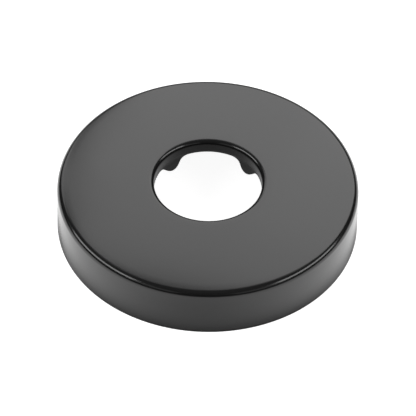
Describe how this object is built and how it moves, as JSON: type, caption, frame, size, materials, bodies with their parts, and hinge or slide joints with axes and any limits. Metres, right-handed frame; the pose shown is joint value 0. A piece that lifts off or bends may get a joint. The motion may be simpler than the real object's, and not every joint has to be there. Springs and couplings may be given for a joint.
{
  "type": "shower arm flange",
  "caption": "Round cup-shaped wall flange of thin drawn sheet, with a slightly domed face, a rounded edge and a necked centre hole whose small bent spring fingers grip a pipe.",
  "frame": {"origin": "centre of the open rim's plane, where the pipe's axis meets the wall", "axes": "+Z out of the face, along the pipe and away from the wall; the spring fingers lie midway between X and Y"},
  "size_m": [0.0636, 0.0636, 0.0127],
  "materials": {
    "satin_coat": "satin near-black coat over thin steel sheet, inside and out"
  },
  "bodies": {
    "root": {"flange_shell": "satin_coat"}
  },
  "joints": []
}
